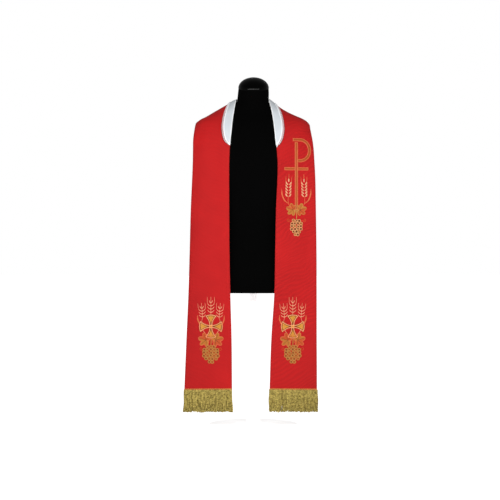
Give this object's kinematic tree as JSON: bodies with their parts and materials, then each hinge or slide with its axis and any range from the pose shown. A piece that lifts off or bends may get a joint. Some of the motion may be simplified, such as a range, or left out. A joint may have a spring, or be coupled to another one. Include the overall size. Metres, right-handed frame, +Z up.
{
  "type": "clerical stole on a dress form",
  "caption": "Red clerical stole with embroidered panels, white neck band and gold fringe, worn on a black limbless dress form with a round stand.",
  "frame": {"origin": "centre of the stand base's flat underside, on the surface it stands on", "axes": "+Z up along the pole, -Y out of the chest of the form, +X towards the wearer's left"},
  "size_m": [0.4724, 0.32, 1.2529],
  "materials": {
    "red_faille": "fine horizontal rib, low sheen, stiffly lined",
    "gold_embroidery": "metallised machine embroidery in satin stitch",
    "white_satin": "satin",
    "white_lace": "matt cotton picot edging",
    "gold_bullion": "twisted metallised cord",
    "form_black": "matt black, fine jersey skin",
    "form_gloss": "polished black",
    "stand_enamel": "white enamel"
  },
  "bodies": {
    "root": {"stole_half_right": "red_faille", "stole_half_left": "red_faille", "neck_band": "white_satin", "neck_band_lace": "white_lace", "fringe_right": "gold_bullion", "fringe_left": "gold_bullion", "form_torso": "form_black", "form_neck_cap": "form_gloss", "stand_pole": "stand_enamel", "stand_base": "stand_enamel"}
  },
  "joints": []
}
